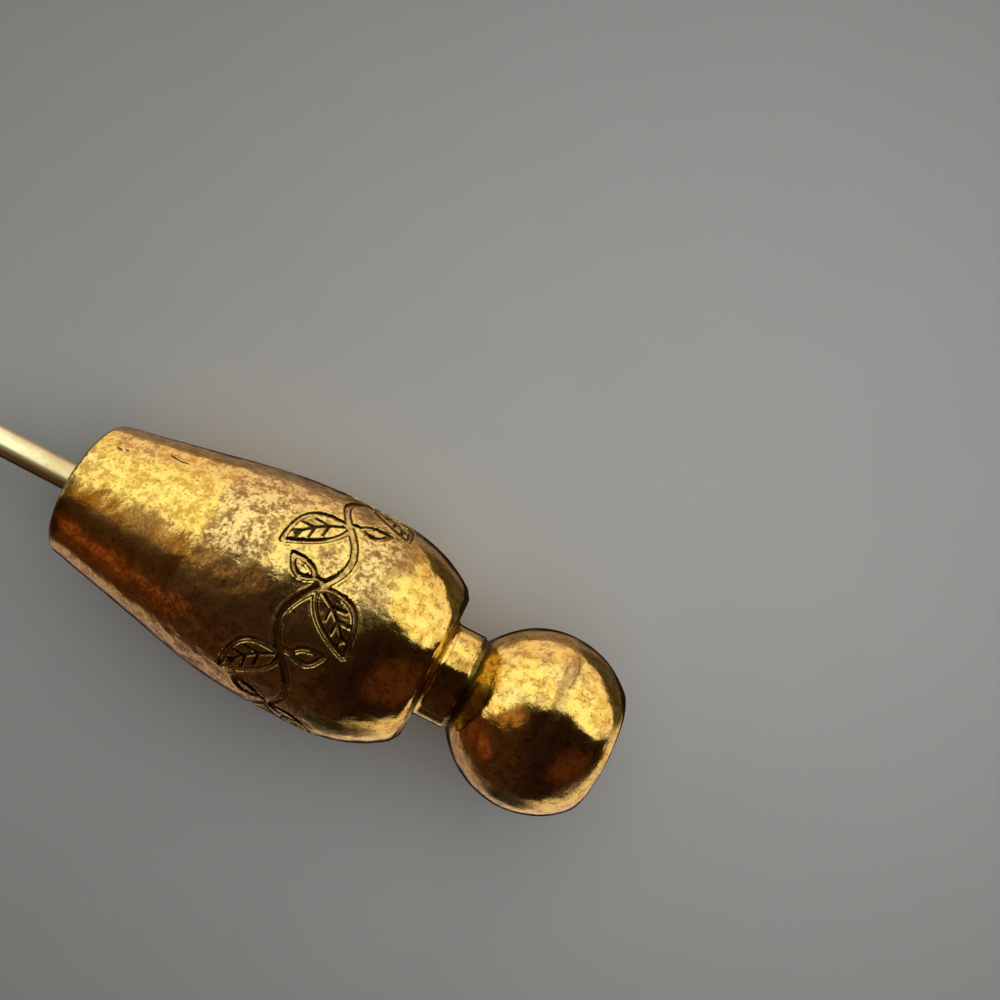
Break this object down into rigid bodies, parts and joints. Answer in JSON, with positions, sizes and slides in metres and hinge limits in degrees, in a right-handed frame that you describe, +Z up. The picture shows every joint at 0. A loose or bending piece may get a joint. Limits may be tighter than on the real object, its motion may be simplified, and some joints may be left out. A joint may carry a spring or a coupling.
{
  "type": "stick pin",
  "caption": "Stick pin with a turned brass head, a swelling barrel, a short neck and a ball with a flat end, on a straight sharpened wire.",
  "frame": {"origin": "on the surface that the pin lies on, under the middle of its length and width", "axes": "+X runs from the wire's point towards the ball, level along the surface; +Z is up; the pin's own axis is 3.36 degrees off +X, because the pin lies on its belly and on the lower end of its wire"},
  "size_m": [0.0748, 0.0078, 0.0079],
  "materials": {
    "aged_brass": "gilt brass, mottled brown with wear and tarnish",
    "bright_brass": "pale drawn brass wire, smooth"
  },
  "bodies": {
    "root": {"head": "aged_brass", "pin_wire": "bright_brass"}
  },
  "joints": []
}
